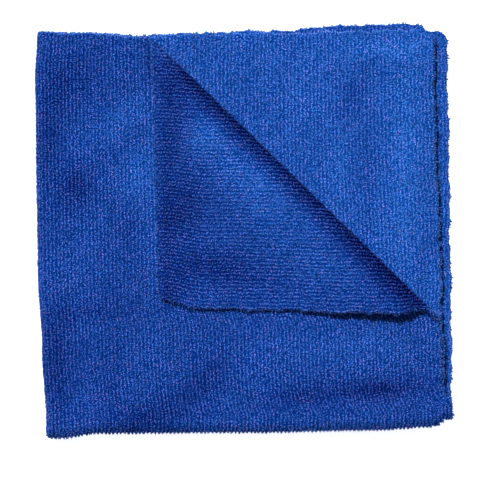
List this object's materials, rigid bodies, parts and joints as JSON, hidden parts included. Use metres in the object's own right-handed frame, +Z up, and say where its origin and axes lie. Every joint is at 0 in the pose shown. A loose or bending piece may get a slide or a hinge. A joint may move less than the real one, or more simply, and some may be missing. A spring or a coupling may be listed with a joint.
{
  "type": "folded microfibre cloth",
  "caption": "Square ribbed microfibre cleaning cloth, folded in four, with the free corner of its top layer turned back.",
  "frame": {"origin": "under the middle of the folded cloth's outline, on the surface that it rests on", "axes": "+Z up through the layers, +X towards the side with the open edges of the layers, +Y towards the end with the open edges; the two folds are at -X and -Y"},
  "size_m": [0.2048, 0.2036, 0.022],
  "materials": {
    "microfibre": "ribbed looped microfibre knit in royal blue, matt with a soft sheen"
  },
  "bodies": {
    "root": {"cloth": "microfibre"}
  },
  "joints": []
}
